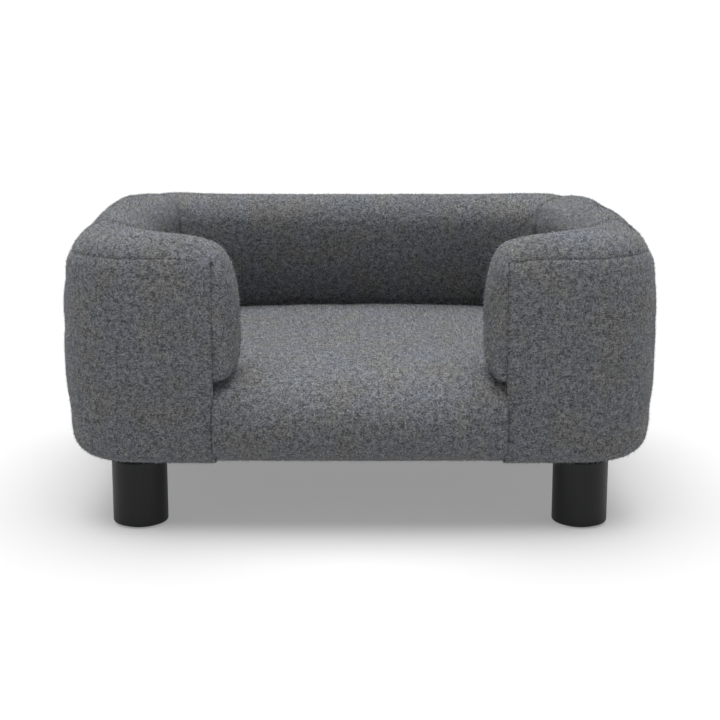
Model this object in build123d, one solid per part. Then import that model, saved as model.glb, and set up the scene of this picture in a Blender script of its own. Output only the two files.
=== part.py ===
from build123d import *
import math
import os

# A small upholstered pet sofa: a padded wall runs round the back, the sides and
# two short wings at the front, a low cushion fills the middle and flows out
# between the wings, and four round wooden legs screw into the timber base.
# Lengths are millimetres. X is across the bed, Y runs from front to back and
# Z is up, with the origin on the floor under the middle of the bed.

# Whole bed
bed_width = 640.0
bed_depth = 460.0
bed_height = 320.0
underside_height = 75.0

# Section of the padded wall
wall_thickness = 75.0
plan_corner_radius = 80.0
face_bulge = 8.0
lower_edge_radius = 28.0
upper_edge_radius = 30.0
inner_edge_radius = 28.0
top_crown = 5.0
inner_bulge = 10.0
cover_thickness = 2.0
hem_width = 22.0
outer_seam_drop = 20.0
inner_seam_lift = 5.0

# Wings and their rounded noses
entrance_width = 260.0
nose_length = 24.0
nose_plan_radius = 29.0
nose_shoulder_radius = 61.0
nose_margin = 3.0
nose_underside_height = 168.0
nose_lower_radius = 20.0

# Seat cushion
seat_edge_height = 175.0
seat_crown = 9.0
seat_cross_crown = 9.0
seat_front_radius = 52.0
seat_front_drop = 6.0
seat_front_bulge = 6.0
seat_front_set_back = 0.8
seat_hem_lift = 1.5
seat_clearance = 0.3
wadding_thickness = 8.0

# Timber frame
frame_inset = 38.0
panel_thickness = 9.0
panel_top_padding = 28.0
panel_end_gap = 11.0
apron_height = 35.0
apron_corner_radius = 12.0
rail_height = 28.0
rail_width = 56.0
deck_thickness = 9.0
deck_corner_radius = 12.0
post_size = 20.0

# Underside
dust_cover_thickness = 1.0
dust_cover_margin = 2.0
staple_crown_length = 10.0
staple_leg_length = 9.0
staple_wire_width = 1.2
staple_wire_thickness = 0.6
staple_line_inset = 10.0
front_staple_pitch = 56.0
side_staple_pitch = 60.0
front_staple_count = 8
side_staple_count = 5

# Legs and their fixings
leg_diameter = 60.0
leg_edge_radius = 2.5
leg_side_inset = 79.0
leg_front_inset = 60.0
felt_diameter = 46.0
felt_thickness = 2.0
bolt_diameter = 8.0
bolt_length = 60.0
bolt_tip_gap = 0.5
bolt_tip_chamfer = 1.0
bolt_hole_clearance = 0.5
thread_clearance = 0.05
washer_diameter = 24.0
washer_thickness = 1.6
washer_bore_clearance = 0.2
washer_recess_clearance = 0.3
washer_stand_out = 0.3
tee_flange_diameter = 22.0
tee_flange_thickness = 1.5
tee_barrel_diameter = 10.0
tee_length = 10.0

# Wood screws
deck_screw_diameter = 4.0
deck_screw_length = 30.0
panel_screw_diameter = 4.0
panel_screw_length = 26.0
post_screw_diameter = 5.0
post_screw_length = 70.0
screw_head_share = 2.0
screw_cone_share = 0.75
front_deck_screw_pitch = 110.0
front_deck_screw_count = 4
side_deck_screw_pitch = 130.0
side_deck_screw_count = 2
panel_screw_lift = 15.5
panel_screw_top_margin = 48.5
panel_screw_step = 20.0

# How far a cutting shape runs past what it cuts
overrun = 5.0

# Heights and places that follow from the sizes above
half_width = bed_width / 2
half_depth = bed_depth / 2
axis_x = half_width - plan_corner_radius
axis_y = half_depth - plan_corner_radius
hem_bottom = underside_height + dust_cover_thickness
rail_bottom = hem_bottom + cover_thickness
rail_top = rail_bottom + rail_height
deck_top = rail_top + deck_thickness
panel_top = bed_height - panel_top_padding
frame_x = half_width - frame_inset
frame_y = half_depth - frame_inset
panel_inner_x = frame_x - panel_thickness
panel_inner_y = frame_y - panel_thickness
rail_inner_x = frame_x - rail_width
rail_inner_y = frame_y - rail_width
hem_reach = frame_inset + hem_width
outer_seam_height = bed_height - outer_seam_drop
inner_seam_height = seat_edge_height + inner_seam_lift
nose_x = entrance_width / 2
seam_x = nose_x + nose_length
seat_face_inset = wall_thickness - inner_bulge
leg_x = half_width - leg_side_inset
leg_y = half_depth - leg_front_inset
leg_top = underside_height - washer_stand_out
bolt_radius = bolt_diameter / 2


def block(x_from, x_to, y_from, y_to, z_from, z_to):
    middle = Pos((x_from + x_to) / 2, (y_from + y_to) / 2, (z_from + z_to) / 2)
    return middle * Box(x_to - x_from, y_to - y_from, z_to - z_from)


def cylinder(x, y, z_from, z_to, radius):
    return Pos(x, y, (z_from + z_to) / 2) * Cylinder(radius, z_to - z_from)


def both_sides(solid):
    return [solid, mirror(solid, about=Plane.YZ)]


def joined(solids):
    result = solids[0]
    for solid in solids[1:]:
        result = result + solid
    return result


def cut(solid, tools):
    result = solid
    for tool in tools:
        result = result - tool
    return result


# Wall section. It is drawn in the XZ plane, where X is the distance from the
# axis of a plan corner, so the same face is swung round the corners and drawn
# out along the straight runs.

def wall_section(inset):
    outer = plan_corner_radius - inset
    inner = plan_corner_radius - wall_thickness + inset
    floor = hem_bottom + inset
    top = bed_height - inset
    shoulder = top - top_crown
    middle_height = (floor + top) / 2
    crest = (outer + inner) / 2
    bulge_height = (seat_edge_height + shoulder) / 2
    foot = Vector(outer - face_bulge, 0, floor)
    outer_top = Vector(outer - face_bulge, 0, shoulder)
    inner_top = Vector(inner + inner_bulge, 0, shoulder)
    crease = Vector(inner + inner_bulge, 0, seat_edge_height)
    inner_foot = Vector(inner + inner_bulge, 0, floor)
    edges = [
        Edge.make_three_point_arc(foot, Vector(outer, 0, middle_height), outer_top),
        Edge.make_three_point_arc(outer_top, Vector(crest, 0, top), inner_top),
        Edge.make_three_point_arc(inner_top, Vector(inner, 0, bulge_height), crease),
        Edge.make_line(crease, inner_foot),
        Edge.make_line(inner_foot, foot),
    ]
    face = Face(Wire(edges))
    rounds = ((foot, lower_edge_radius), (outer_top, upper_edge_radius), (inner_top, inner_edge_radius))
    for corner, radius in rounds:
        nearest = face.vertices().sort_by_distance(corner)[0]
        face = face.fillet_2d(radius - inset, [nearest])
    return face


def section_window(reach_from, reach_to, z_from, z_to):
    """A rectangle in the section's plane, between two distances in from the outer face."""
    width = reach_to - reach_from
    height = z_to - z_from
    centre_x = plan_corner_radius - (reach_from + reach_to) / 2
    centre_z = (z_from + z_to) / 2
    return Plane.XZ * Pos(centre_x, centre_z) * Rectangle(width, height)


def corner_run(section, x, y, start_angle, swing):
    placed = Pos(x, y, 0) * Rot(0, 0, start_angle) * section
    return revolve(placed, Axis((x, y, 0), (0, 0, 1)), swing)


def straight_run(section, x, y, facing_angle, length):
    placed = Pos(x, y, 0) * Rot(0, 0, facing_angle) * section
    facing = math.radians(facing_angle)
    return extrude(placed, amount=length, dir=(-math.sin(facing), math.cos(facing), 0))


def right_side_run(section):
    return straight_run(section, axis_x, -axis_y, 0, 2 * axis_y)


def back_run(section):
    return straight_run(section, axis_x, axis_y, 90, 2 * axis_x)


def front_right_corner(section, start_angle, swing):
    return corner_run(section, axis_x, -axis_y, start_angle, swing)


def back_right_corner(section):
    return corner_run(section, axis_x, axis_y, 0, 90)


# Right wing, with a nose rounded in plan and in elevation. The solid is the wall
# section drawn out along X and trimmed by two prisms.

def wing_plan(inset):
    front = -half_depth - nose_margin + inset
    rear = -half_depth + wall_thickness + nose_margin - inset
    tip = nose_x + inset
    far = half_width
    sheet = Pos((tip + far) / 2, (front + rear) / 2) * Rectangle(far - tip, rear - front)
    tips = sheet.vertices().sort_by(Axis.X)[0:2]
    sheet = fillet(tips, nose_plan_radius - inset)
    return extrude(sheet, amount=bed_height + overrun)


def wing_elevation(inset):
    top = bed_height + nose_margin - inset
    low = nose_underside_height + inset
    tip = nose_x + inset
    far = half_width
    nose = Pos((tip + far) / 2, (top + low) / 2) * Rectangle(far - tip, top - low)
    tips = nose.vertices().sort_by(Axis.X)[0:2].sort_by(Axis.Y)
    nose = fillet(tips[0], nose_lower_radius - inset)
    upper = nose.vertices().sort_by_distance((tip, top, 0))[0]
    nose = fillet(upper, nose_shoulder_radius - inset)
    stem_top = nose_underside_height + nose_lower_radius
    stem = Pos((seam_x + far) / 2, stem_top / 2) * Rectangle(far - seam_x, stem_top)
    view = stem + nose
    return extrude(Plane.XZ * view, amount=bed_depth)


def right_wing(inset):
    section = wall_section(inset)
    bar = straight_run(section, nose_x, -axis_y, -90, axis_x - nose_x)
    return bar & wing_plan(inset) & wing_elevation(inset)


# Covers of woven wool cloth, 2 mm thick with its lining, cut by the seams.

def cover_bands():
    skin = wall_section(0) - wall_section(cover_thickness)
    crest_reach = wall_thickness / 2
    outer_window = section_window(-overrun, hem_reach, 0, outer_seam_height)
    top_window = section_window(-overrun, crest_reach, outer_seam_height, bed_height + overrun)
    top_window = top_window + section_window(
        crest_reach, wall_thickness + overrun, inner_seam_height, bed_height + overrun
    )
    inner_window = section_window(hem_reach, wall_thickness + overrun, deck_top, inner_seam_height)
    return skin & outer_window, skin & top_window, skin & inner_window


def wing_cover_pieces():
    skin = right_wing(0) - right_wing(cover_thickness)
    front = -half_depth - overrun
    hem_edge = -half_depth + hem_reach
    rear = -half_depth + wall_thickness + overrun
    sky = bed_height + overrun
    outer_zone = block(seam_x, axis_x, front, hem_edge, 0, outer_seam_height)
    inner_zone = block(seam_x, axis_x, hem_edge, rear, deck_top, inner_seam_height)
    crest_y = -half_depth + wall_thickness / 2
    top_zone = block(seam_x, axis_x, front, crest_y, outer_seam_height, sky)
    top_zone = top_zone + block(seam_x, axis_x, crest_y, rear, inner_seam_height, sky)
    top_zone = top_zone + block(nose_x - overrun, seam_x, front, rear, 0, sky)
    return skin & outer_zone, skin & top_zone, skin & inner_zone


# Fixings

def screw(diameter, length):
    """A countersunk wood screw, head face at the origin and point down."""
    head_radius = diameter * screw_head_share / 2
    shank_radius = diameter / 2
    cone = diameter * screw_cone_share
    head = Pos(0, 0, -cone / 2) * Cone(shank_radius, head_radius, cone)
    shank = Pos(0, 0, -(cone + length) / 2) * Cylinder(shank_radius, length - cone)
    return head + shank


def deck_screws():
    model = screw(deck_screw_diameter, deck_screw_length)
    rail_middle_y = frame_y - rail_width / 2
    rail_middle_x = frame_x - rail_width / 2
    places = []
    for column in range(front_deck_screw_count):
        x = (column - (front_deck_screw_count - 1) / 2) * front_deck_screw_pitch
        places.append((x, rail_middle_y))
        places.append((x, -rail_middle_y))
    for row in range(side_deck_screw_count):
        y = (row - (side_deck_screw_count - 1) / 2) * side_deck_screw_pitch
        places.append((rail_middle_x, y))
        places.append((-rail_middle_x, y))
        places.append((0, y))
    return [Pos(x, y, deck_top) * model for x, y in places]


def post_places():
    x = panel_inner_x - post_size / 2
    y = panel_inner_y - post_size / 2
    return [(x, y), (-x, y), (x, -y), (-x, -y)]


def post_screws():
    model = Rot(180, 0, 0) * screw(post_screw_diameter, post_screw_length)
    return [Pos(x, y, rail_bottom) * model for x, y in post_places()]


def panel_screws():
    model = screw(panel_screw_diameter, panel_screw_length)
    post_screw_top = rail_bottom + post_screw_length
    rows = (post_screw_top + panel_screw_lift, panel_top - panel_screw_top_margin)
    screws = []
    for x, y in post_places():
        side = math.copysign(1, x)
        end = math.copysign(1, y)
        for height in rows:
            across = Pos(side * frame_x, y, height - panel_screw_step / 2)
            along = Pos(x, end * frame_y, height + panel_screw_step / 2)
            screws.append(across * Rot(0, side * 90, 0) * model)
            screws.append(along * Rot(-end * 90, 0, 0) * model)
    return screws


def staple(x, y, turn):
    """A wire staple driven up from the underside, its crown on the dust cover."""
    low = -staple_wire_thickness
    half = staple_crown_length / 2
    half_wire = staple_wire_width / 2
    crown = block(-half, half, -half_wire, half_wire, low, 0)
    tines = []
    for side in (-1, 1):
        edge = side * (half - staple_wire_thickness)
        near, far = sorted((edge, side * half))
        tines.append(block(near, far, -half_wire, half_wire, low, staple_leg_length))
    return Pos(x, y, underside_height) * Rot(0, 0, turn) * joined([crown] + tines)


def staples():
    line_x = frame_x - staple_line_inset
    line_y = frame_y - staple_line_inset
    result = []
    for column in range(front_staple_count):
        x = (column - (front_staple_count - 1) / 2) * front_staple_pitch
        result.append(staple(x, line_y, 0))
        result.append(staple(x, -line_y, 0))
    for row in range(side_staple_count):
        y = (row - (side_staple_count - 1) / 2) * side_staple_pitch
        result.append(staple(line_x, y, 90))
        result.append(staple(-line_x, y, 90))
    return result


def leg_places():
    return {
        "front_left": (-leg_x, -leg_y),
        "front_right": (leg_x, -leg_y),
        "back_left": (-leg_x, leg_y),
        "back_right": (leg_x, leg_y),
    }


def bolt_holes(z_from, z_to):
    radius = bolt_radius + bolt_hole_clearance
    return [cylinder(x, y, z_from, z_to, radius) for x, y in leg_places().values()]


def tee_nut(x, y):
    flange = cylinder(x, y, rail_top - tee_flange_thickness, rail_top, tee_flange_diameter / 2)
    barrel = cylinder(x, y, rail_top - tee_length, rail_top, tee_barrel_diameter / 2)
    bore = cylinder(x, y, rail_top - tee_length - overrun, rail_top + overrun, bolt_radius + thread_clearance)
    return flange + barrel, flange + barrel - bore


# Timber frame

def rounded_plan(inset, corner_radius, z_from, z_to):
    sheet = RectangleRounded(bed_width - 2 * inset, bed_depth - 2 * inset, corner_radius)
    return Pos(0, 0, z_from) * extrude(sheet, amount=z_to - z_from)


def frame_pieces():
    corners = rounded_plan(frame_inset, plan_corner_radius - frame_inset, rail_bottom, rail_top)
    front_rail = block(-frame_x, frame_x, -frame_y, -rail_inner_y, rail_bottom, rail_top) & corners
    back_rail = block(-frame_x, frame_x, rail_inner_y, frame_y, rail_bottom, rail_top) & corners
    right_rail = block(rail_inner_x, frame_x, -rail_inner_y, rail_inner_y, rail_bottom, rail_top)
    left_rail = mirror(right_rail, about=Plane.YZ)
    half_slat = rail_width / 2
    slat = block(-half_slat, half_slat, -rail_inner_y, rail_inner_y, rail_bottom, rail_top)
    deck = rounded_plan(frame_inset, deck_corner_radius, rail_top, deck_top)
    right_panel = block(panel_inner_x, frame_x, -frame_y, frame_y, deck_top, panel_top)
    left_panel = mirror(right_panel, about=Plane.YZ)
    back_panel = block(-panel_inner_x, panel_inner_x, panel_inner_y, frame_y, deck_top, panel_top)
    front_panel = front_panel_piece()
    posts = [
        block(x - post_size / 2, x + post_size / 2, y - post_size / 2, y + post_size / 2, deck_top, panel_top)
        for x, y in post_places()
    ]
    return {
        "front_rail": front_rail,
        "back_rail": back_rail,
        "left_rail": left_rail,
        "right_rail": right_rail,
        "centre_slat": slat,
        "deck_board": deck,
        "left_panel": left_panel,
        "right_panel": right_panel,
        "back_panel": back_panel,
        "front_panel": front_panel,
        "corner_posts": posts,
    }


def front_panel_piece():
    """One sheet with a low apron between two uprights that stiffen the wings."""
    upright_x = seam_x + panel_end_gap
    view = Pos(0, (deck_top + panel_top) / 2) * Rectangle(2 * panel_inner_x, panel_top - deck_top)
    apron_top = deck_top + apron_height
    gap_height = panel_top + overrun - apron_top
    gap = Pos(0, apron_top + gap_height / 2) * Rectangle(2 * upright_x, gap_height)
    lower = gap.vertices().sort_by(Axis.Y)[0:2]
    view = view - fillet(lower, apron_corner_radius)
    return Pos(0, -panel_inner_y, 0) * extrude(Plane.XZ * view, amount=panel_thickness)


# Seat cushion. Its front runs out between the wings and rolls down over the
# front edge of the base.

def seat_side_view(inset):
    front = -half_depth + seat_front_set_back + inset
    back = half_depth - seat_face_inset - seat_clearance - inset
    low = hem_bottom + seat_hem_lift + inset
    edge = seat_edge_height - inset
    front_top = edge - seat_front_drop
    crown = edge + seat_crown
    bulge_height = (low + front_top) / 2
    foot = Vector(0, front + seat_front_bulge, low)
    lip = Vector(0, front + seat_front_bulge, front_top)
    rim = Vector(0, back, edge)
    heel = Vector(0, back, low)
    edges = [
        Edge.make_three_point_arc(foot, Vector(0, front, bulge_height), lip),
        Edge.make_three_point_arc(lip, Vector(0, (front + back) / 2, crown), rim),
        Edge.make_line(rim, heel),
        Edge.make_line(heel, foot),
    ]
    face = Face(Wire(edges))
    lip_room = front_top - low + inset - lower_edge_radius
    lip_radius = min(seat_front_radius, lip_room)
    for corner, radius in ((foot, lower_edge_radius), (lip, lip_radius)):
        nearest = face.vertices().sort_by_distance(corner)[0]
        face = face.fillet_2d(radius - inset, [nearest])
    return face


def seat_plan(inset):
    gap = seat_face_inset + seat_clearance + inset
    corner = plan_corner_radius - gap
    middle = RectangleRounded(bed_width - 2 * gap, bed_depth - 2 * gap, corner)
    tongue_half = seam_x - seat_clearance - inset
    tongue = Pos(0, -half_depth / 2) * Rectangle(2 * tongue_half, bed_depth / 2 + overrun)
    return extrude(middle + tongue, amount=bed_height)


def seat_block(inset):
    """The side view swung a little about a low axis along Y, which crowns it across the bed too."""
    half = half_width - seat_face_inset
    swing_radius = (half ** 2 + seat_cross_crown ** 2) / (2 * seat_cross_crown)
    axis_height = seat_edge_height + seat_crown - swing_radius
    swing_angle = math.degrees(math.asin((half + overrun) / swing_radius))
    axis = Axis((0, 0, axis_height), (0, 1, 0))
    upright = seat_side_view(inset)
    swung = revolve(upright.rotate(axis, -swing_angle), axis, 2 * swing_angle)
    floor = hem_bottom + seat_hem_lift + inset
    room = block(-half_width, half_width, -bed_depth, bed_depth, floor, bed_height)
    return swung & room & seat_plan(inset)


def seat_pieces(frame_solids):
    base_zone = block(-half_width, half_width, -frame_y, half_depth, rail_bottom, deck_top)
    hem_edge = -half_depth + hem_reach
    under_zone = block(-half_width, half_width, hem_edge, half_depth, 0, rail_bottom)
    noses = both_sides(right_wing(-seat_clearance))
    tools = [base_zone, under_zone] + noses
    outside = seat_block(0)
    lining = seat_block(cover_thickness)
    core = seat_block(cover_thickness + wadding_thickness)
    cover = cut(outside - lining, tools + frame_solids)
    wadding = cut(lining - core, tools + frame_solids)
    foam = cut(core, tools + frame_solids)
    return cover, wadding, foam


# Legs

def leg_pieces(x, y):
    body = cylinder(x, y, felt_thickness, leg_top, leg_diameter / 2)
    body = fillet(body.edges().filter_by(GeomType.CIRCLE), leg_edge_radius)
    washer_bottom = underside_height - washer_thickness
    washer = cylinder(x, y, washer_bottom, underside_height, washer_diameter / 2)
    washer = washer - cylinder(x, y, 0, bed_height, bolt_radius + washer_bore_clearance)
    recess_radius = washer_diameter / 2 + washer_recess_clearance
    recess = cylinder(x, y, washer_bottom, bed_height, recess_radius)
    bolt_top = rail_top - bolt_tip_gap
    bolt = cylinder(x, y, bolt_top - bolt_length, bolt_top, bolt_radius)
    bolt = chamfer(bolt.edges().filter_by(GeomType.CIRCLE), bolt_tip_chamfer)
    felt = cylinder(x, y, 0, felt_thickness, felt_diameter / 2)
    return body - recess - bolt, bolt, washer, felt


def write(name, shapes):
    solids = []
    for shape in shapes if isinstance(shapes, list) else [shapes]:
        solids.extend(shape.solids())
    whole = solids[0] if len(solids) == 1 else Compound(children=solids)
    export_step(whole, os.path.join("parts", name + ".step"))


def main():
    os.makedirs("parts", exist_ok=True)
    frame = frame_pieces()
    timber = []
    for piece in frame.values():
        timber.extend(piece if isinstance(piece, list) else [piece])
    panels_and_posts = [frame["left_panel"], frame["right_panel"], frame["back_panel"], frame["front_panel"]]
    panels_and_posts = panels_and_posts + frame["corner_posts"]

    # Padding of the walls, hollowed where the timber stands in it
    padding = wall_section(cover_thickness)
    right_side_foam = cut(right_side_run(padding), timber)
    front_corner_foam = cut(front_right_corner(padding, -90, 90), timber)
    back_corner_foam = cut(back_right_corner(padding), timber)
    wing_foam = cut(right_wing(cover_thickness), timber)
    write("back_wall_foam", cut(back_run(padding), timber))
    handed = {
        "side_wall_foam": right_side_foam,
        "front_corner_foam": front_corner_foam,
        "back_corner_foam": back_corner_foam,
        "wing_foam": wing_foam,
    }

    # Cloth covers
    pins = staples()
    holes = bolt_holes(0, rail_top)
    outer_band, top_band, inner_band = cover_bands()
    wing_outer, wing_top, wing_inner = wing_cover_pieces()
    outer_cover = joined([
        wing_outer,
        front_right_corner(outer_band, -90, 90),
        right_side_run(outer_band),
        back_right_corner(outer_band),
    ])
    handed["outer_cover"] = cut(outer_cover, holes + pins)
    handed["wing_top_cover"] = wing_top + front_right_corner(top_band, -90, 45)
    handed["side_top_cover"] = joined([
        front_right_corner(top_band, -45, 45),
        right_side_run(top_band),
        back_right_corner(top_band),
    ])
    handed["wing_inner_cover"] = wing_inner
    handed["side_inner_cover"] = joined([
        front_right_corner(inner_band, -90, 90),
        right_side_run(inner_band),
        back_right_corner(inner_band),
    ])
    write("back_outer_cover", cut(back_run(outer_band), holes + pins))
    write("back_top_cover", back_run(top_band))
    write("back_inner_cover", back_run(inner_band))
    for name, solid in handed.items():
        write("right_" + name, solid)
        write("left_" + name, mirror(solid, about=Plane.YZ))

    # Seat
    seat_cover, seat_wadding, seat_foam = seat_pieces(panels_and_posts)
    write("seat_cover", cut(seat_cover, pins))
    write("seat_wadding", seat_wadding)
    write("seat_foam", seat_foam)

    # Frame with its holes
    nuts = [tee_nut(x, y) for x, y in leg_places().values()]
    nut_blanks = [blank for blank, nut in nuts]
    deck_pins = deck_screws()
    side_pins = panel_screws()
    post_pins = post_screws()
    rails = ("front_rail", "back_rail", "left_rail", "right_rail", "centre_slat")
    for name in rails:
        write(name, cut(frame[name], holes + nut_blanks + deck_pins + post_pins + pins))
    write("deck_board", cut(frame["deck_board"], deck_pins + post_pins))
    for name in ("left_panel", "right_panel", "back_panel", "front_panel"):
        write(name, cut(frame[name], side_pins))
    write("corner_posts", [cut(post, side_pins + post_pins) for post in frame["corner_posts"]])
    write("deck_screws", deck_pins)
    write("panel_screws", side_pins)
    write("post_screws", post_pins)
    write("tee_nuts", [nut for blank, nut in nuts])

    # Underside
    dust_inset = frame_inset + dust_cover_margin
    dust_cover = rounded_plan(dust_inset, plan_corner_radius - dust_inset, underside_height, hem_bottom)
    write("dust_cover", cut(dust_cover, holes + pins))
    write("staples", pins)

    # Legs
    for corner, (x, y) in leg_places().items():
        leg, bolt, washer, felt = leg_pieces(x, y)
        write("leg_" + corner, leg)
        write("hanger_bolt_" + corner, bolt)
        write("leg_washer_" + corner, washer)
        write("felt_pad_" + corner, felt)


main()
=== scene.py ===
import math

import bmesh
import bpy
import numpy as np
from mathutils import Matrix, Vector, kdtree, noise


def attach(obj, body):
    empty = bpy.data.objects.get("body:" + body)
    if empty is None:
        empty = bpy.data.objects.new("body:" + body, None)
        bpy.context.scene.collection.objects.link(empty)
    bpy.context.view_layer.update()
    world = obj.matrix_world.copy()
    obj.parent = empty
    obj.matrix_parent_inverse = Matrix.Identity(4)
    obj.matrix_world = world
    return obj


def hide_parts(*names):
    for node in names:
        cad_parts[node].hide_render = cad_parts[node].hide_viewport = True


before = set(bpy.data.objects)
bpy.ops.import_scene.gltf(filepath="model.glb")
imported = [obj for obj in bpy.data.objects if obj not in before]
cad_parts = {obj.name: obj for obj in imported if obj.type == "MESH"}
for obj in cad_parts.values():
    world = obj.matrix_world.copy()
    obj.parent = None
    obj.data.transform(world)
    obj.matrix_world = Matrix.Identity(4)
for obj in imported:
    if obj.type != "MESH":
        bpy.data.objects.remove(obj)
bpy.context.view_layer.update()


# Floor, light and camera
# A plain pale table top of back-lit acrylic that runs far out and rises a little,
# one very soft light from above, and the photograph's own view: a long lens, a
# little above the bed, looking down on it.

def linear(colour):
    """An sRGB hex colour as linear red, green, blue and alpha."""
    parts = [int(colour[k:k + 2], 16) / 255 for k in (1, 3, 5)]
    return [c / 12.92 if c <= 0.04045 else ((c + 0.055) / 1.055) ** 2.4 for c in parts] + [1.0]


def add(tree, kind, settings=(), **inputs):
    """Adds a node: settings are its own properties, inputs are values or sockets to link."""
    made = tree.nodes.new(kind)
    for name, value in dict(settings).items():
        setattr(made, name, value)
    for name, value in inputs.items():
        key = int(name[1:]) if name[0] == "n" and name[1:].isdigit() else name.replace("_", " ")
        socket = made.inputs[key]
        if isinstance(value, bpy.types.NodeSocket):
            tree.links.new(value, socket)
        else:
            socket.default_value = value
    return made


def finish_of(name):
    """An empty material with its node tree and its shader."""
    made = bpy.data.materials.new(name)
    made.use_nodes = True
    shader = made.node_tree.nodes["Principled BSDF"]
    return made, made.node_tree, shader


rgba = {"data_type": "RGBA"}


def two_tones(tree, shader, share, tones, relief, roughness):
    """Two tones mixed by share, and a relief of some strength and depth that follows it."""
    colour = add(tree, "ShaderNodeMix", rgba, Factor=share, n6=linear(tones[0]),
                 n7=linear(tones[1]))
    tree.links.new(colour.outputs[2], shader.inputs["Base Color"])
    bump = add(tree, "ShaderNodeBump", Height=share, Strength=relief[0], Distance=relief[1])
    tree.links.new(bump.outputs[0], shader.inputs["Normal"])
    shader.inputs["Roughness"].default_value = roughness


def mesh_object(name, mesh):
    made = bpy.data.objects.new(name, mesh)
    bpy.context.scene.collection.objects.link(made)
    return made


table_flat_radius, table_bend_radius = 6.0, 4.0
table_rise, table_rim = math.radians(15), (36.6, 8.06)
table_sides, bend_steps = 120, 12
table_profile = [(table_flat_radius + table_bend_radius * math.sin(table_rise * k / bend_steps),
                  table_bend_radius * (1 - math.cos(table_rise * k / bend_steps)))
                 for k in range(bend_steps + 1)] + [table_rim]
turns = [2 * math.pi * k / table_sides for k in range(table_sides)]
points = [(r * math.cos(turn), r * math.sin(turn), z) for r, z in table_profile for turn in turns]
faces = [tuple(range(table_sides))]
for ring in range(len(table_profile) - 1):
    for k in range(table_sides):
        inner, outer, beside = table_sides * ring, table_sides * (ring + 1), (k + 1) % table_sides
        faces.append((inner + k, outer + k, outer + beside, inner + beside))
sweep_mesh = bpy.data.meshes.new("studio_sweep")
sweep_mesh.from_pydata(points, [], faces)
sweep_mesh.polygons.foreach_set("use_smooth", [True] * len(faces))
sweep = mesh_object("studio_sweep", sweep_mesh)
# Matt opal acrylic lit from below: pale, even and without a pattern
board, tree, shader = finish_of("matt_opal_acrylic")
mottle = add(tree, "ShaderNodeTexNoise", Scale=3.0, Detail=2.0)
board_colour = add(tree, "ShaderNodeMix", rgba, Factor=mottle.outputs["Fac"],
                   n6=linear("#9e9e9e"), n7=linear("#a1a1a1"))
tree.links.new(board_colour.outputs[2], shader.inputs["Base Color"])
shader.inputs["Roughness"].default_value = 0.9
shader.inputs["Emission Color"].default_value = (1.0, 1.0, 1.0, 1.0)
shader.inputs["Emission Strength"].default_value = 0.27
sweep_mesh.materials.append(board)


# One light as wide as a studio ceiling, a little behind the bed
ceiling_data = bpy.data.lights.new("soft_ceiling", "SUN")
ceiling_data.energy, ceiling_data.angle = 5.7, math.radians(66)
ceiling = bpy.data.objects.new("soft_ceiling", ceiling_data)
ceiling.rotation_euler = (math.radians(-3), 0.0, 0.0)
bpy.context.scene.collection.objects.link(ceiling)
world = bpy.data.worlds.new("soft_white_room")
world.use_nodes = True
world.node_tree.nodes["Background"].inputs["Color"].default_value = (1.0, 1.0, 1.0, 1.0)
world.node_tree.nodes["Background"].inputs["Strength"].default_value = 0.31
bpy.context.scene.world = world
bpy.context.scene.view_settings.view_transform = "Standard"

camera_data = bpy.data.cameras.new("photograph_view")
camera_data.lens, camera_data.sensor_width = 80.65, 36.0
camera_data.clip_start, camera_data.clip_end = 0.05, 80.0
camera = bpy.data.objects.new("photograph_view", camera_data)
camera.location = (0.0, -1.868, 0.556)
camera.rotation_euler = (math.radians(90.0 - 12.44), 0.0, 0.0)
bpy.context.scene.collection.objects.link(camera)
bpy.context.scene.camera = camera


# Outer covers
# Bands of milled wool cloth, about 2 mm thick with their lining. They wrap the
# outside of the walls from hems stapled underneath up to a plain seam on the
# shoulder, where they are sewn inside out to the strips over the crest.

corner_radius = 0.080
axis_x, axis_y = 0.240, 0.150
seam_x = 0.154
hem_height = 0.076
wall_top = 0.320
outer_seam, inner_seam = 0.300, 0.177
# Distances out from the line through the centres of the corners, called reach below
inside_reach, middle_reach, outside_reach = 0.015, 0.0425, 0.072
cloth_thickness = 0.0016
cloth_step = 0.003
wing_length = axis_x - seam_x
corner_length = corner_radius * math.pi / 2
side_length = 2 * axis_y
wall_half = wing_length + 2 * corner_length + side_length + axis_x
front_corner_start = wing_length
front_corner_end = wing_length + corner_length
back_corner_start = front_corner_end + side_length
back_corner_end = back_corner_start + corner_length


def run(start, end, bulge=0.0):
    """Points from start to end, bowed to the right of the way they go."""
    start, end = Vector(start), Vector(end)
    chord = end - start
    side = Vector((chord.y, -chord.x)).normalized() * bulge
    shares = [k / 60 for k in range(61)]
    return np.array([start + chord * t + side * 4 * t * (1 - t) for t in shares])


def lengths_of(line):
    return np.concatenate([[0.0], np.cumsum(np.linalg.norm(np.diff(line, axis=0), axis=1))])


def at_lengths(line, places):
    lengths = lengths_of(line)
    return np.column_stack([np.interp(places, lengths, line[:, k]) for k in range(line.shape[1])])


# A curve's handles beside the radius of the quarter circle that it follows
arc_handle = 0.5523


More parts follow.
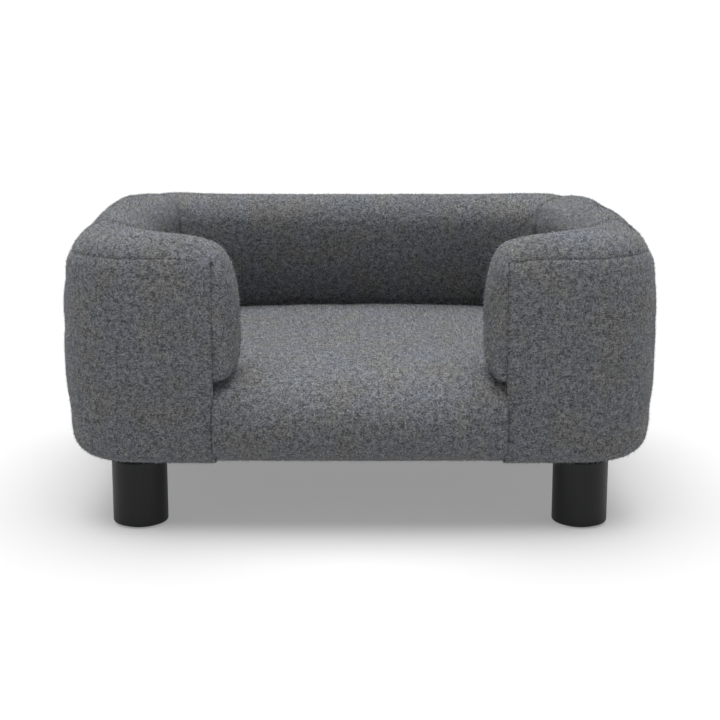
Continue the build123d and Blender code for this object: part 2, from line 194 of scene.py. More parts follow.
def rounded(runs, radii):
    """The runs as one line, each corner between two of them rounded by its radius."""
    line = []
    cuts = [0.0] + list(radii) + [0.0]
    trimmed = []
    for k, points in enumerate(runs):
        total = lengths_of(points)[-1]
        trimmed.append(at_lengths(points, np.linspace(cuts[k], total - cuts[k + 1], 80)))
    for k, points in enumerate(trimmed):
        line.append(points)
        if k + 1 < len(trimmed) and radii[k] > 0:
            a, b = points[-1], trimmed[k + 1][0]
            leave = points[-1] - points[-2]
            meet = trimmed[k + 1][1] - b
            handle = arc_handle * radii[k]
            c = a + leave / np.linalg.norm(leave) * handle
            d = b - meet / np.linalg.norm(meet) * handle
            t = np.linspace(0, 1, 26)[1:-1, None]
            line.append(a * (1 - t) ** 3 + c * 3 * t * (1 - t) ** 2 + d * 3 * t ** 2 * (1 - t)
                        + b * t ** 3)
        elif k + 1 < len(trimmed):
            line[-1] = points[:-1]
    return np.vstack(line)


# The wall's section, as reach and height, from the hem underneath over the crest to the seat
crest_height, tuck_height, tuck_foot = 0.315, 0.175, 0.150
wall_line = rounded(
    [
        run((0.020, hem_height), (outside_reach, hem_height)),
        run((outside_reach, hem_height), (outside_reach, crest_height), 0.007),
        run((outside_reach, crest_height), (inside_reach, crest_height), 0.005),
        run((inside_reach, crest_height), (inside_reach, tuck_height), 0.010),
        run((inside_reach, tuck_height), (inside_reach, tuck_foot)),
    ],
    [0.021, 0.030, 0.028, 0.0],
)
section_lengths = lengths_of(wall_line)
crest = int(np.argmax(wall_line[:, 1]))
outer_seam_length = float(np.interp(outer_seam, wall_line[:crest, 1], section_lengths[:crest]))
inner_seam_length = float(np.interp(-inner_seam, -wall_line[crest:, 1], section_lengths[crest:]))
section_end = float(section_lengths[-1])


def wall_place(u):
    """Axis point and outward way at length u along the wall, from the right front seam round."""
    if u > wall_half:
        axis, out = wall_place(2 * wall_half - u)
        return Vector((-axis.x, axis.y)), Vector((-out.x, out.y))
    if u <= front_corner_start:
        return Vector((seam_x + u, -axis_y)), Vector((0.0, -1.0))
    if u < front_corner_end:
        angle = (u - front_corner_start) / corner_radius - math.pi / 2
        return Vector((axis_x, -axis_y)), Vector((math.cos(angle), math.sin(angle)))
    if u <= back_corner_start:
        return Vector((axis_x, u - front_corner_end - axis_y)), Vector((1.0, 0.0))
    if u < back_corner_end:
        angle = (u - back_corner_start) / corner_radius
        return Vector((axis_x, axis_y)), Vector((math.cos(angle), math.sin(angle)))
    return Vector((axis_x - (u - back_corner_end), axis_y)), Vector((0.0, 1.0))


def left_of(u):
    """The place on the left that faces u on the right."""
    return 2 * wall_half - u


def smooth(value, low, high):
    t = min(1.0, max(0.0, (value - low) / (high - low)))
    return t * t * (3 - 2 * t)


# Each wing rolls down towards its nose, from nose_shoulder_x on and above shoulder_foot
nose_shoulder, nose_shoulder_x, shoulder_foot = 0.133, 0.198, 0.230
seam_droop = 0.0036


def wing_height(x, reach, z):
    """Heights near the nose, where the crest of the wing rolls down."""
    if x >= nose_shoulder_x or z < shoulder_foot:
        return z
    along = nose_shoulder_x - x
    top = wall_top - nose_shoulder + math.sqrt(nose_shoulder ** 2 - along ** 2)
    above = z - shoulder_foot
    if reach < middle_reach:
        return shoulder_foot + above * (top - shoulder_foot) / (wall_top - shoulder_foot)
    lowered = outer_seam - seam_droop * smooth(along, 0.0, nose_shoulder_x - seam_x)
    if z > outer_seam:
        return lowered + (z - outer_seam) * (top - lowered) / (wall_top - outer_seam)
    return shoulder_foot + above * (lowered - shoulder_foot) / (outer_seam - shoulder_foot)


# The fill starts at this reach and turns in a bend this wide, wider at the right back corner
fill_reach, fill_depth = 0.0575, 0.035
fill_bend, right_back_bend = 0.075, 0.095


def filled_corner(flat, reach):
    """Fills the inner corners, where foam and cloth turn in a wider bend than the panels."""
    if reach > fill_reach:
        return flat
    wide = right_back_bend if flat.x > 0 and flat.y >= 0 else fill_bend
    bend = wide * smooth(fill_reach - reach, 0.0, fill_depth)
    side = Vector((math.copysign(1.0, flat.x), math.copysign(1.0, flat.y)))
    inward = Vector(((axis_x - flat.x * side.x), (axis_y - flat.y * side.y)))
    centre = Vector((bend, bend))
    if inward.x >= bend or inward.y >= bend:
        return flat
    away = inward - centre
    limit = reach + bend
    if away.length > limit:
        inward = centre + away * (limit / away.length)
    return Vector(((axis_x - inward.x) * side.x, (axis_y - inward.y) * side.y))


# How much fuller or slacker the crest stands, round which y and over what length
right_fullness, left_fullness = (0.0045, -0.010, 0.075), (0.0065, 0.060, 0.095)
right_slack = (0.0025, 0.130, 0.050)
# The same for the front corners, round which x and y
corner_fullness, full_x, full_y, full_length = 0.009, 0.250, -0.130, 0.07
# Where the fullness fades in
full_reach, full_fade, over_sides, lift_heights = 0.065, 0.03, (0.20, 0.24), (0.262, 0.312)


def hump(y, height, middle, length):
    return height * math.exp(-(((y - middle) / length) ** 2))


def crest_lift(flat, reach, z):
    """The crest stands a few millimetres fuller over the front corners and along the sides."""
    from_corner = math.hypot(abs(flat.x) - full_x, flat.y - full_y)
    corner = hump(from_corner, corner_fullness, 0.0, full_length)
    corner *= smooth(full_reach - reach, 0.0, full_fade)
    over_side = smooth(abs(flat.x), *over_sides)
    side = hump(flat.y, *(right_fullness if flat.x > 0 else left_fullness)) * over_side
    slack = hump(flat.y, *right_slack) * over_side if flat.x > 0 else 0.0
    return (math.hypot(corner, side) - slack) * smooth(z, *lift_heights)


corner_change, shoulder_heights = 0.075, (0.235, 0.312)


def wall_point(u, reach, z):
    """A point of the wall, with squarer corners at the back and softer shoulders at the front."""
    axis, out = wall_place(u)
    if out.y < -0.999:
        z = wing_height(abs(axis.x), reach, z)
    diagonal = (2 * out.x * out.y) ** 2 * (reach / corner_radius) ** 2
    if out.y > 0:
        reach *= 1 + corner_change * diagonal
    else:
        reach *= 1 - corner_change * diagonal * smooth(z, *shoulder_heights)
    flat = filled_corner(axis + out * reach, reach)
    return Vector((flat.x, flat.y, z + crest_lift(flat, reach, z)))


def spread(low, high, step=cloth_step, fine=(True, True)):
    """Places along a panel from low to high, set closer beside its seams."""
    near = (0.0, 0.0006, 0.0013, 0.0021, 0.0031, 0.0044, 0.006, 0.008, 0.0105, 0.0135)
    first = [low + d for d in near] if fine[0] else [low]
    last = [high - d for d in reversed(near)] if fine[1] else [high]
    gap = last[0] - first[-1]
    count = max(1, round(gap / step))
    return first + [first[-1] + gap * k / count for k in range(1, count)] + last


# Seams, each with the depth of its groove and of the wide dip beside it
back_seam, front_seam, nose_seam = (0.0021, 0.0016), (0.0026, 0.0011), (0.0013, 0.0010)
shoulder_seam, tuck_seam, valley_seam = (0.0012, 0.0011), (0.0005, 0.0005), (0.0002, 0.0002)
crease_top, crease_foot = (0.0010, 0.0012), (0.0026, 0.0034)
groove_width, dip_width, seam_step = 0.0021, 0.011, 0.0015
seam_points = []


def sew(points, groove, dip):
    seam_points.extend((Vector(p), groove, dip) for p in points)


def section_at(u, places):
    return [wall_point(u, *row) for row in at_lengths(wall_line, places)]


back_crease = back_corner_start + corner_radius * math.radians(66)
valley = front_corner_start + corner_length / 2
around = np.arange(0.0, 2 * wall_half, seam_step)
outer_row = at_lengths(wall_line, [outer_seam_length])[0]
inner_row = at_lengths(wall_line, [inner_seam_length])[0]
for u in around:
    place = wall_point(u, *outer_row)
    # The left wing's cloth is drawn so taut that its seam hardly sinks in
    taut = smooth(place.x, -0.235, -0.17) if place.x < 0 and place.y < -0.20 else 0.0
    sew([place], shoulder_seam[0] * (1 - taut), shoulder_seam[1] * (1 - 0.8 * taut))
sew([wall_point(u, *inner_row) for u in around], *tuck_seam)
outside = np.arange(0.03, outer_seam_length, seam_step)
tucked = np.arange(inner_seam_length, section_end, seam_step)
crest_strip = np.arange(outer_seam_length, inner_seam_length, seam_step)
for u in (0.0, left_of(0.0)):
    sew(section_at(u, outside), *front_seam)
    sew(section_at(u, tucked), *nose_seam)
for u in (back_corner_end, left_of(back_corner_end)):
    sew(section_at(u, outside), *back_seam)
for u in (back_crease, left_of(back_crease)):
    crease = section_at(u, crest_strip)
    for k, place in enumerate(crease):
        inside = smooth(k / len(crease), 0.0 if place.x > 0 else 0.12, 0.4)
        sew([place], *(top + (foot - top) * inside for top, foot in zip(crease_top, crease_foot)))
for u in (valley, left_of(valley)):
    sew(section_at(u, crest_strip), *valley_seam)


def finder(places):
    """A search tree that finds the nearest of some places."""
    found = kdtree.KDTree(len(places))
    for k, place in enumerate(places):
        found.insert(place, k)
    found.balance()
    return found


seams = finder([place for place, groove, dip in seam_points])


def wall_core(p):
    """The middle of the wall nearest to p, which tells its outside from its inside."""
    axis = Vector((min(axis_x, max(-axis_x, p.x)), min(axis_y, max(-axis_y, p.y))))
    out = (p.xy - axis).normalized() * middle_reach
    return Vector((axis.x + out.x, axis.y + out.y, min(0.28, max(0.11, p.z))))


def undulation(p):
    """The soft unevenness of cloth pulled over foam, by hand."""
    return 0.0010 * noise.noise(p * 13) + 0.0004 * noise.noise(p * 31 + Vector((4, 1, 7)))


pucker_height, pucker_waves = 0.0006, 95


def wall_settle(p):
    """How far the cloth stands out at p: drawn in at its seams, puckered beside them."""
    nearest, index, d = seams.find(p)
    groove, dip = seam_points[index][1:]
    drawn = groove * math.exp(-((d / groove_width) ** 2)) + dip * math.exp(-((d / dip_width) ** 2))
    pucker = pucker_height * noise.noise(nearest * pucker_waves) * math.exp(-((d / 0.012) ** 2))
    return (undulation(p) + pucker - drawn) * smooth(p.z, hem_height + 0.001, hem_height + 0.02)


foam_pressure, swell_limit = 4.0, 0.0018
settling_frames, coarseness = 20, 3
nearby_count, nearby_width = 9, 0.0065


def swelling(grids, core):
    """Where the foam pushes the cloth out between its sewn edges, from a coarse copy blown up."""
    coarse = []
    for rows, closed in grids:
        kept = rows[:-1:coarseness] + rows[-1:]
        coarse.append(([row[::coarseness] if closed else row[:-1:coarseness] + row[-1:]
                        for row in kept], closed))
    form = mesh_object("swelling_form", panel_mesh("swelling_form", coarse, lambda p: 0.0, core))
    rest = np.array([v.co for v in form.data.vertices])
    faces_beside = np.zeros(len(form.data.edges), int)
    for loop in form.data.loops:
        faces_beside[loop.edge_index] += 1
    sewn = {v for edge in form.data.edges if faces_beside[edge.index] == 1 for v in edge.vertices}
    held = form.vertex_groups.new(name="sewn_edge")
    held.add(sorted(sewn), 1.0, "REPLACE")
    cloth = form.modifiers.new("cloth", "CLOTH")
    cloth.settings.quality = 5
    cloth.settings.use_pressure = True
    cloth.settings.uniform_pressure_force = foam_pressure
    cloth.settings.effector_weights.gravity = 0.0
    cloth.settings.vertex_group_mass = "sewn_edge"
    cloth.collision_settings.use_collision = False
    cloth.point_cache.frame_start, cloth.point_cache.frame_end = 1, settling_frames
    for frame_number in range(1, settling_frames + 1):
        bpy.context.scene.frame_set(frame_number)
    blown = form.evaluated_get(bpy.context.evaluated_depsgraph_get()).to_mesh()
    moved = np.array([v.co for v in blown.vertices]) - rest
    bpy.context.scene.frame_set(1)
    mesh = form.data
    bpy.data.objects.remove(form)
    bpy.data.meshes.remove(mesh)
    size = np.linalg.norm(moved, axis=1, keepdims=True)
    moved *= swell_limit * np.tanh(size / swell_limit) / np.maximum(size, 1e-9)
    near = finder(rest)

    def swell(p):
        found = near.find_n(p, nearby_count)
        shares = [math.exp(-((d / nearby_width) ** 2)) + 1e-6 for place, k, d in found]
        pushes = (Vector(moved[k]) * share for (place, k, d), share in zip(found, shares))
        return sum(pushes, Vector()) / sum(shares)

    return swell


def panel_mesh(name, grids, settle, core, swell=None):
    """One panel from grids of (place, cloth coordinate), merged where they meet, then settled."""
    shape = bmesh.new()
    layer = shape.loops.layers.uv.new("cloth")
    for rows, closed in grids:
        made = [[shape.verts.new(place) for place, flat in row] for row in rows]
        width = len(rows[0])
        facing = 0.0
        fresh = []
        for i in range(len(rows) - 1):
            for j in range(width if closed else width - 1):
                k = (j + 1) % width
                corners = [(i, j), (i, k), (i + 1, k), (i + 1, j)]
                face = shape.faces.new([made[r][c] for r, c in corners])
                face.smooth = True
                for loop, (r, c) in zip(face.loops, corners):
                    loop[layer].uv = rows[r][c][1]
                face.normal_update()
                middle = face.calc_center_median()
                facing += face.normal.dot(middle - core(middle)) * face.calc_area()
                fresh.append(face)
        if facing < 0:
            bmesh.ops.reverse_faces(shape, faces=fresh)
    bmesh.ops.remove_doubles(shape, verts=shape.verts, dist=1e-6)
    bmesh.ops.dissolve_degenerate(shape, edges=shape.edges, dist=1e-7)
    shape.normal_update()
    moves = [v.normal * settle(v.co) + (swell(v.co) if swell else Vector()) for v in shape.verts]
    for v, move in zip(shape.verts, moves):
        v.co += move
    mesh = bpy.data.meshes.new(name)
    shape.to_mesh(mesh)
    shape.free()
    return mesh


# Milled wool cloth, woven and then felted, so the weave is lost under a short nap
# of mixed light and dark fibres: dull, soft-edged, paler where it is seen aslant.
flat_noise = {"noise_dimensions": "2D"}
wool, tree, shader = finish_of("milled_wool_cloth_grey_melange")
cloth_place = add(tree, "ShaderNodeUVMap", {"uv_map": "cloth"}).outputs[0]
# Clumps of matted fibre, about 6 mm, 2.4 mm and 1.1 mm across
clumps, tufts, flecks = [
    add(tree, "ShaderNodeTexNoise", flat_noise, Vector=cloth_place, Scale=scale,
        Detail=detail, Distortion=distortion).outputs["Fac"]
    for scale, detail, distortion in ((170.0, 1.0, 0.5), (430.0, 1.0, 0.15), (900.0, 2.0, 0.3))]
matted = add(tree, "ShaderNodeMath", {"operation": "MULTIPLY_ADD"}, n0=flecks, n1=0.8, n2=tufts)
clumped = add(tree, "ShaderNodeMath", {"operation": "MULTIPLY_ADD"}, n0=clumps, n1=0.8,
              n2=matted.outputs[0])
tone = add(tree, "ShaderNodeMapRange", Value=clumped.outputs[0], From_Min=1.0, From_Max=1.62)
# Single fibres, drawn 0.7 mm wide and 4 mm long, some ten times coarser than wool, so that
# they show. They lie four ways, and the palest and the darkest are kept at each place.
palest = darkest = None
for turn, shift in ((17, 0.0), (62, 3.1), (109, 7.7), (154, 12.9)):
    laid = add(tree, "ShaderNodeMapping", {"vector_type": "POINT"}, Vector=cloth_place,
               Location=(shift, shift, 0.0), Rotation=(0.0, 0.0, math.radians(turn)),
               Scale=(250.0, 1400.0, 1.0))
    strand = add(tree, "ShaderNodeTexNoise", flat_noise, Vector=laid.outputs[0],
                 Scale=1.0, Detail=1.0, Distortion=1.2).outputs["Fac"]
    if palest is None:
        palest = darkest = strand
    else:
        palest, darkest = (add(tree, "ShaderNodeMath", {"operation": operation}, n0=kept,
                               n1=strand).outputs[0]
                           for operation, kept in (("MAXIMUM", palest), ("MINIMUM", darkest)))
pale_share = add(tree, "ShaderNodeMapRange", Value=palest, From_Min=0.66, From_Max=0.86, To_Max=0.6)
dark_share = add(tree, "ShaderNodeMapRange", Value=darkest, From_Min=0.34, From_Max=0.16,
                 To_Max=0.6)
# The blend leans blue or brown in slow patches about 45 mm across
patches = add(tree, "ShaderNodeTexNoise", flat_noise, Vector=cloth_place,
              Scale=22.0, Detail=3.0, Roughness=0.6)
lean = add(tree, "ShaderNodeMapRange", Value=patches.outputs["Fac"], From_Min=0.35, From_Max=0.65)
dark_wool, pale_wool = [add(tree, "ShaderNodeMix", rgba, Factor=lean.outputs[0],
                            n6=linear(blue), n7=linear(brown)).outputs[2]
                        for blue, brown in (("#36383c", "#393837"), ("#6f7379", "#737270"))]
wool_colour = dark_wool
for share, mixed_in in ((tone, pale_wool), (dark_share, linear("#222429")),
                        (pale_share, linear("#a4a7ac"))):
    wool_colour = add(tree, "ShaderNodeMix", rgba, Factor=share.outputs[0],
                      n6=wool_colour, n7=mixed_in).outputs[2]
tree.links.new(wool_colour, shader.inputs["Base Color"])
nap_height = add(tree, "ShaderNodeMath", {"operation": "ADD"}, n0=matted.outputs[0], n1=palest)
nap_bump = add(tree, "ShaderNodeBump", Height=nap_height.outputs[0], Strength=0.45, Distance=0.0009)
tree.links.new(nap_bump.outputs[0], shader.inputs["Normal"])
shader.inputs["Roughness"].default_value = 0.95
shader.inputs["Specular IOR Level"].default_value = 0.15
shader.inputs["Sheen Weight"].default_value = 0.1
shader.inputs["Sheen Roughness"].default_value = 0.4


# The same wool as single fibres that stand out of the cloth: dark, mid and pale ones mixed
nap_wool, tree, shader = finish_of("wool_nap_fibres")
tint = add(tree, "ShaderNodeAttribute", {"attribute_name": "tint"})
fibre_colour = linear("#242629")
for start, end, paler in ((0.0, 0.5, "#5a5d61"), (0.55, 1.0, "#b4b6ba")):
    share = add(tree, "ShaderNodeMapRange", Value=tint.outputs["Fac"], From_Min=start, From_Max=end)
    fibre_colour = add(tree, "ShaderNodeMix", rgba, Factor=share.outputs[0],
                       n6=fibre_colour, n7=linear(paler)).outputs[2]
tree.links.new(fibre_colour, shader.inputs["Base Color"])
shader.inputs["Roughness"].default_value = 0.9
shader.inputs["Specular IOR Level"].default_value = 0.2

# The nap: thin fibres scattered over the cloth, leaning every way, each with its own tint
nap = bpy.data.node_groups.new("wool_nap", "GeometryNodeTree")
nap.interface.new_socket("Cloth", in_out="INPUT", socket_type="NodeSocketGeometry")
nap_inputs = {}
for label, kind in (("Fibres per square metre", "Float"), ("Fibre length", "Float"),
                    ("Fibre radius", "Float"), ("Seed", "Int"), ("Finish", "Material")):
    socket = nap.interface.new_socket(label, in_out="INPUT", socket_type="NodeSocket" + kind)
    nap_inputs[label] = socket.identifier
nap.interface.new_socket("Nap", in_out="OUTPUT", socket_type="NodeSocketGeometry")
given = add(nap, "NodeGroupInput").outputs
roots = add(nap, "GeometryNodeDistributePointsOnFaces", Mesh=given["Cloth"],
            Density=given["Fibres per square metre"], Seed=given["Seed"])
fibre = add(nap, "GeometryNodeMeshCone", {"fill_type": "NGON"}, Vertices=3, Radius_Top=0.0,
            Radius_Bottom=given["Fibre radius"], Depth=given["Fibre length"])
upright = add(nap, "FunctionNodeAlignRotationToVector", {"axis": "Z"},
              Vector=roots.outputs["Normal"])
leaning = add(nap, "FunctionNodeRandomValue", {"data_type": "FLOAT_VECTOR"},
              n0=(0.35, 0.0, 0.0), n1=(1.4, 0.0, 2 * math.pi), Seed=given["Seed"])
leant = add(nap, "FunctionNodeRotateRotation", {"rotation_space": "LOCAL"}, n0=upright.outputs[0],
            n1=leaning.outputs[0])
grown = add(nap, "FunctionNodeRandomValue", {"data_type": "FLOAT_VECTOR"},
            n0=(0.7, 0.7, 0.4), n1=(1.3, 1.3, 1.6), Seed=given["Seed"])
fibres = add(nap, "GeometryNodeInstanceOnPoints", Points=roots.outputs["Points"],
             Instance=fibre.outputs["Mesh"], Rotation=leant.outputs[0], Scale=grown.outputs[0])
dyed = add(nap, "FunctionNodeRandomValue", {"data_type": "FLOAT"}, Seed=given["Seed"])
tinted = add(nap, "GeometryNodeStoreNamedAttribute", {"data_type": "FLOAT", "domain": "INSTANCE"},
             Geometry=fibres.outputs[0], Name="tint", Value=dyed.outputs[1])
real = add(nap, "GeometryNodeRealizeInstances", Geometry=tinted.outputs[0])
finished = add(nap, "GeometryNodeSetMaterial", Geometry=real.outputs[0], Material=given["Finish"])
add(nap, "NodeGroupOutput", n0=finished.outputs[0])


def plain_mesh(piece):
    """An object's mesh with its modifiers applied."""
    return bpy.data.meshes.new_from_object(
        piece.evaluated_get(bpy.context.evaluated_depsgraph_get()))


fibre_density, fibre_length, fibre_radius = 200000.0, 0.0024, 0.00018


def raise_nap(piece, name):
    """Raises the nap of one cover as its own piece."""
    growth = piece.modifiers.new("nap", "NODES")
    growth.node_group = nap
    seed = len(name) * 7 + sum(map(ord, name)) % 97
    for label, value in (("Fibres per square metre", fibre_density), ("Fibre length", fibre_length),
                         ("Fibre radius", fibre_radius), ("Seed", seed), ("Finish", nap_wool)):
        growth[nap_inputs[label]] = value
    made = plain_mesh(piece)
    made.name = name
    piece.modifiers.remove(growth)
    pile = mesh_object(name, made)
    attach(pile, "bed")


def cloth_piece(name, node, grids, settle=wall_settle, core=wall_core, swell=None):
    """A finished cover: the panel, its thickness turned inwards, in place of its CAD node."""
    swell = swell or swelling(grids, core)
    piece = mesh_object(name, panel_mesh(name, grids, settle, core, swell))
    # The inner covers are tucked out of sight, so they need no nap
    if "inner" not in name:
        raise_nap(piece, name.replace("_cloth", "_nap"))
    piece.data.materials.append(wool)
    body = piece.modifiers.new("cloth_thickness", "SOLIDIFY")
    body.thickness, body.offset = cloth_thickness, -1.0
    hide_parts(node)
    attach(piece, "bed")


def wall_grid(u_from, u_to, s_from, s_to, ends=(True, True), sides=(True, True)):
    """A grid over the wall between two places along it and two along its section."""
    columns = spread(u_from, u_to, fine=ends)
    places = spread(s_from, s_to, fine=sides)
    outline = at_lengths(wall_line, places)
    rows = [[(wall_point(u, *point), (u, v)) for u in columns] for point, v in zip(outline, places)]
    return rows, False


for name, start, end in (("right", 0.0, back_corner_end),
                         ("left", left_of(back_corner_end), left_of(0.0)),
                         ("back", back_corner_end, left_of(back_corner_end))):
    cloth_piece(name + "_outer_cover_cloth", name + "_outer_cover",
                [wall_grid(start, end, 0.0, outer_seam_length, sides=(False, True))])


# Top strips
# Wide strips of the same cloth over the crest of the walls and down the inside to
# the seat. At the front each one runs on over the rounded nose of its wing and is
# sewn to the outer cover beside it, with mitred joins at the corners.

nose_bottom, nose_middle, nose_sag = 0.1735, 0.225, 0.0085
nose_rings, nose_cloth_length = 26, 0.05
# The nose is a superellipse, rounder on top than below, drawn in a little at its waist
nose_power, lower_power, nose_waist = 2.25, 0.7, 0.13
# The section's first points are its hem, where the height doesn't rise yet
hem_points = 40


def nose_grid(side, nose_length):
    """The nose as rings from its seam to its tip, flatter in front and tighter below."""
    u = 0.0 if side > 0 else left_of(0.0)
    heights = at_lengths(wall_line, section_lengths)[:, 1]
    start = float(np.interp(nose_bottom, heights[hem_points:crest],
                            section_lengths[hem_points:crest]))
    end = float(np.interp(-nose_bottom, -heights[crest:], section_lengths[crest:]))
    front = spread(start, outer_seam_length, fine=(False, True))[:-1]
    strip = spread(outer_seam_length, inner_seam_length)
    inner = spread(inner_seam_length, end, fine=(False, False))[1:]
    places = front + strip + inner
    loop = section_at(u, places)
    a, b = loop[-1], loop[0]
    count = round((b - a).length / cloth_step)
    for k in range(1, count):
        t = k / count
        sag = nose_sag * (1 - abs(2 * t - 1) ** 2.5)
        loop.append(a.lerp(b, t) - Vector((0, 0, sag)))
        places.append(places[-1] + cloth_step)
    middle = Vector((loop[0].x, -axis_y - middle_reach, nose_middle))
    rows = []
    for ring in range(nose_rings + 1):
        turn = math.pi / 2 * (1 - ring / nose_rings)
        row = []
        for place, v in zip(loop, places):
            away = place - middle
            down = smooth(-away.z / max(away.length, 1e-6), 0.1, 0.9)
            power = nose_power + lower_power * down
            share = math.sin(turn) ** (2 / power)
            depth = math.cos(turn) ** (2 / power) if ring else 0.0
            share *= 1 - nose_waist * depth * (1 - depth)
            x = middle.x - side * nose_length * depth
            row.append((Vector((x, middle.y + away.y * share, middle.z + away.z * share)),
                        (u - side * nose_cloth_length * (1 - turn / (math.pi / 2)), v)))
        rows.append(row)
    return rows, True


def crest_grid(start, end, ends=(True, True)):
    return wall_grid(start, end, outer_seam_length, inner_seam_length, ends=ends)


right_nose, left_nose = 0.0225, 0.0265
right_crest = [crest_grid(0.0, valley, (False, True)), nose_grid(1, right_nose),
               crest_grid(valley, back_crease)]
left_crest = [crest_grid(left_of(valley), left_of(0.0), (True, False)), nose_grid(-1, left_nose),
              crest_grid(left_of(back_crease), left_of(valley))]
for side, grids in (("right", right_crest), ("left", left_crest)):
    swell = swelling(grids, wall_core)
    cloth_piece(side + "_wing_top_cover_cloth", side + "_wing_top_cover", grids[:2], swell=swell)
    cloth_piece(side + "_side_top_cover_cloth", side + "_side_top_cover", grids[2:], swell=swell)
cloth_piece("back_top_cover_cloth", "back_top_cover",
            [crest_grid(back_crease, left_of(back_crease))])


# Inner covers
# Pull strips sewn to the lower edge of the top strips, just above the seat. They
# are tucked down between the walls and the seat and stapled to the base.

flap_front, flap_top, flap_length, flap_drop = -0.222, 0.1745, 0.0555, 0.0745
flap_gap, flap_columns, flap_rows = 0.0006, 18, 24


def end_flap(side):
    """The flap that closes the wing's end between its nose and the seat."""
    x = side * (seam_x + flap_gap)
    rows = []
    for i in range(flap_rows + 1):
        down = flap_drop * i / flap_rows
        backs = [flap_length * j / flap_columns for j in range(flap_columns + 1)]
        rows.append([(Vector((x, flap_front + flap_length - back, flap_top - down)), (back, down))
                     for back in backs])
    return rows, False


for name, start, end, flaps in (("right_wing", 0.0, valley, [end_flap(1)]),
                                ("left_wing", left_of(valley), left_of(0.0), [end_flap(-1)]),
                                ("right_side", valley, back_crease, []),
                                ("left_side", left_of(back_crease), left_of(valley), []),
                                ("back", back_crease, left_of(back_crease), [])):
    tucked_strip = wall_grid(start, end, inner_seam_length, section_end, sides=(False, False))
    cloth_piece(name + "_inner_cover_cloth", name + "_inner_cover", [tucked_strip] + flaps)


# Seat cover
# One panel of the cloth over a foam slab wrapped in wadding. It tucks in at the
# back and sides, runs out under the noses of the wings and rolls down over the
# front edge to a hem stapled underneath.

seat_half, tongue_half, seat_reach = 0.2547, 0.1562, 0.1647
seat_front, seat_hem_end = -0.2232, -0.170
seat_back_height, seat_lip_height, seat_hem_height = 0.1815, 0.169, 0.0775
seat_line = rounded(
    [
        run((seat_reach, seat_back_height), (seat_front, seat_lip_height), 0.009),
        run((seat_front, seat_lip_height), (seat_front, seat_hem_height), 0.006),
        run((seat_front, seat_hem_height), (seat_hem_end, seat_hem_height)),
    ],
    [0.052, 0.028],
)
seat_cross_drop = 0.009


def seat_edge_distance(x, y):
    """How far inside the cover's nearest edge a place on the seat is."""
    x = abs(x)
    if y < -seat_reach:
        return tongue_half - x
    inside = min(seat_half - x, seat_reach - y)
    if x > tongue_half:
        return min(inside, y + seat_reach)
    return min(inside, math.hypot(tongue_half - x, y + seat_reach))


def seat_grid(x_low, x_high, s_low, s_high, fine, step=cloth_step):
    """A grid over the seat between two places across it and two along its side view."""
    columns = spread(x_low, x_high, step, fine[:2])
    places = spread(s_low, s_high, step, fine[2:])
    rows = []
    for (y, z), v in zip(at_lengths(seat_line, places), places):
        crown = seat_cross_drop * smooth(z, 0.10, 0.16)
        rows.append([(Vector((x, y, z - crown * (x / seat_half) ** 2)), (x, v)) for x in columns])
    return rows, False


# The edge rolls under in a bend this wide, narrower in front and at the back
edge_roll, front_roll_less, back_roll_less = 0.013, 0.0085, 0.006
front_zone, back_zone = (0.150, 0.185), (0.10, 0.14)
# Where the noses press on the seat, and where it is fuller just in front of them
nose_press, press_x, press_y, press_z = 0.0010, (0.116, 0.140), (0.125, 0.150), (0.150, 0.163)
fullness, full_zone_x, full_zone_y, full_z = 0.011, (0.105, 0.142), (0.15, 0.19), (0.156, 0.024)


def seat_settle(p):
    """Rolled under at its edges, fuller just in front of the noses and pressed down under them."""
    y = min(p.y, seat_reach)
    d = max(0.0, seat_edge_distance(p.x, y if p.z > 0.14 else -0.2))
    front = smooth(-y, *front_zone)
    roll = edge_roll - front_roll_less * front - back_roll_less * smooth(y, *back_zone)
    drop = roll - math.sqrt(max(0.0, roll ** 2 - max(0.0, roll - d) ** 2)) if d < roll else 0.0
    under_nose = smooth(abs(p.x), *press_x) * smooth(p.z, *press_z)
    under_nose *= nose_press * smooth(-y, *press_y)
    fuller = smooth(abs(p.x), *full_zone_x) * hump(p.z, fullness, *full_z)
    fuller *= smooth(-p.y, *full_zone_y)
    waves = Vector((p.x * 20, p.y * pucker_waves, p.z * pucker_waves))
    pucker = pucker_height * noise.noise(waves) * math.exp(-((d / 0.02) ** 2))
    return (undulation(p) * 1.2 + pucker + fuller - under_nose) * smooth(p.z, 0.078, 0.09) - drop


def seat_core(p):
    """A point inside the seat, level with p across it."""
    return Vector((p.x, 0.0, 0.12))


seat_lengths = lengths_of(seat_line)
# The first points of the side view run forward over the seat's top, so their y only falls
top_points = 120
tongue_start = float(np.interp(seat_reach, -seat_line[:top_points, 0], seat_lengths[:top_points]))
seat_total = float(seat_lengths[-1])


def seat_grids(step, fine):
    """The seat's top in three strips and its tongue, which share their columns."""
    return [
        seat_grid(-seat_half, -tongue_half, 0.0, tongue_start, (fine, False, fine, fine), step),
        seat_grid(-tongue_half, tongue_half, 0.0, tongue_start, (fine, fine, fine, fine), step),
        seat_grid(tongue_half, seat_half, 0.0, tongue_start, (False, fine, fine, fine), step),
        seat_grid(-tongue_half, tongue_half, tongue_start, seat_total, (fine, fine, False, False),
                  step),
    ]


cloth_piece("seat_cover_cloth", "seat_cover", seat_grids(cloth_step, True), seat_settle, seat_core)


# Foam and wadding
# Blocks of upholstery foam glued to the plywood inside the walls, a foam slab for
# the seat and a layer of polyester wadding over it. All of it is hidden by the
# covers, and cut by knife, so its edges are soft and its faces open-celled.

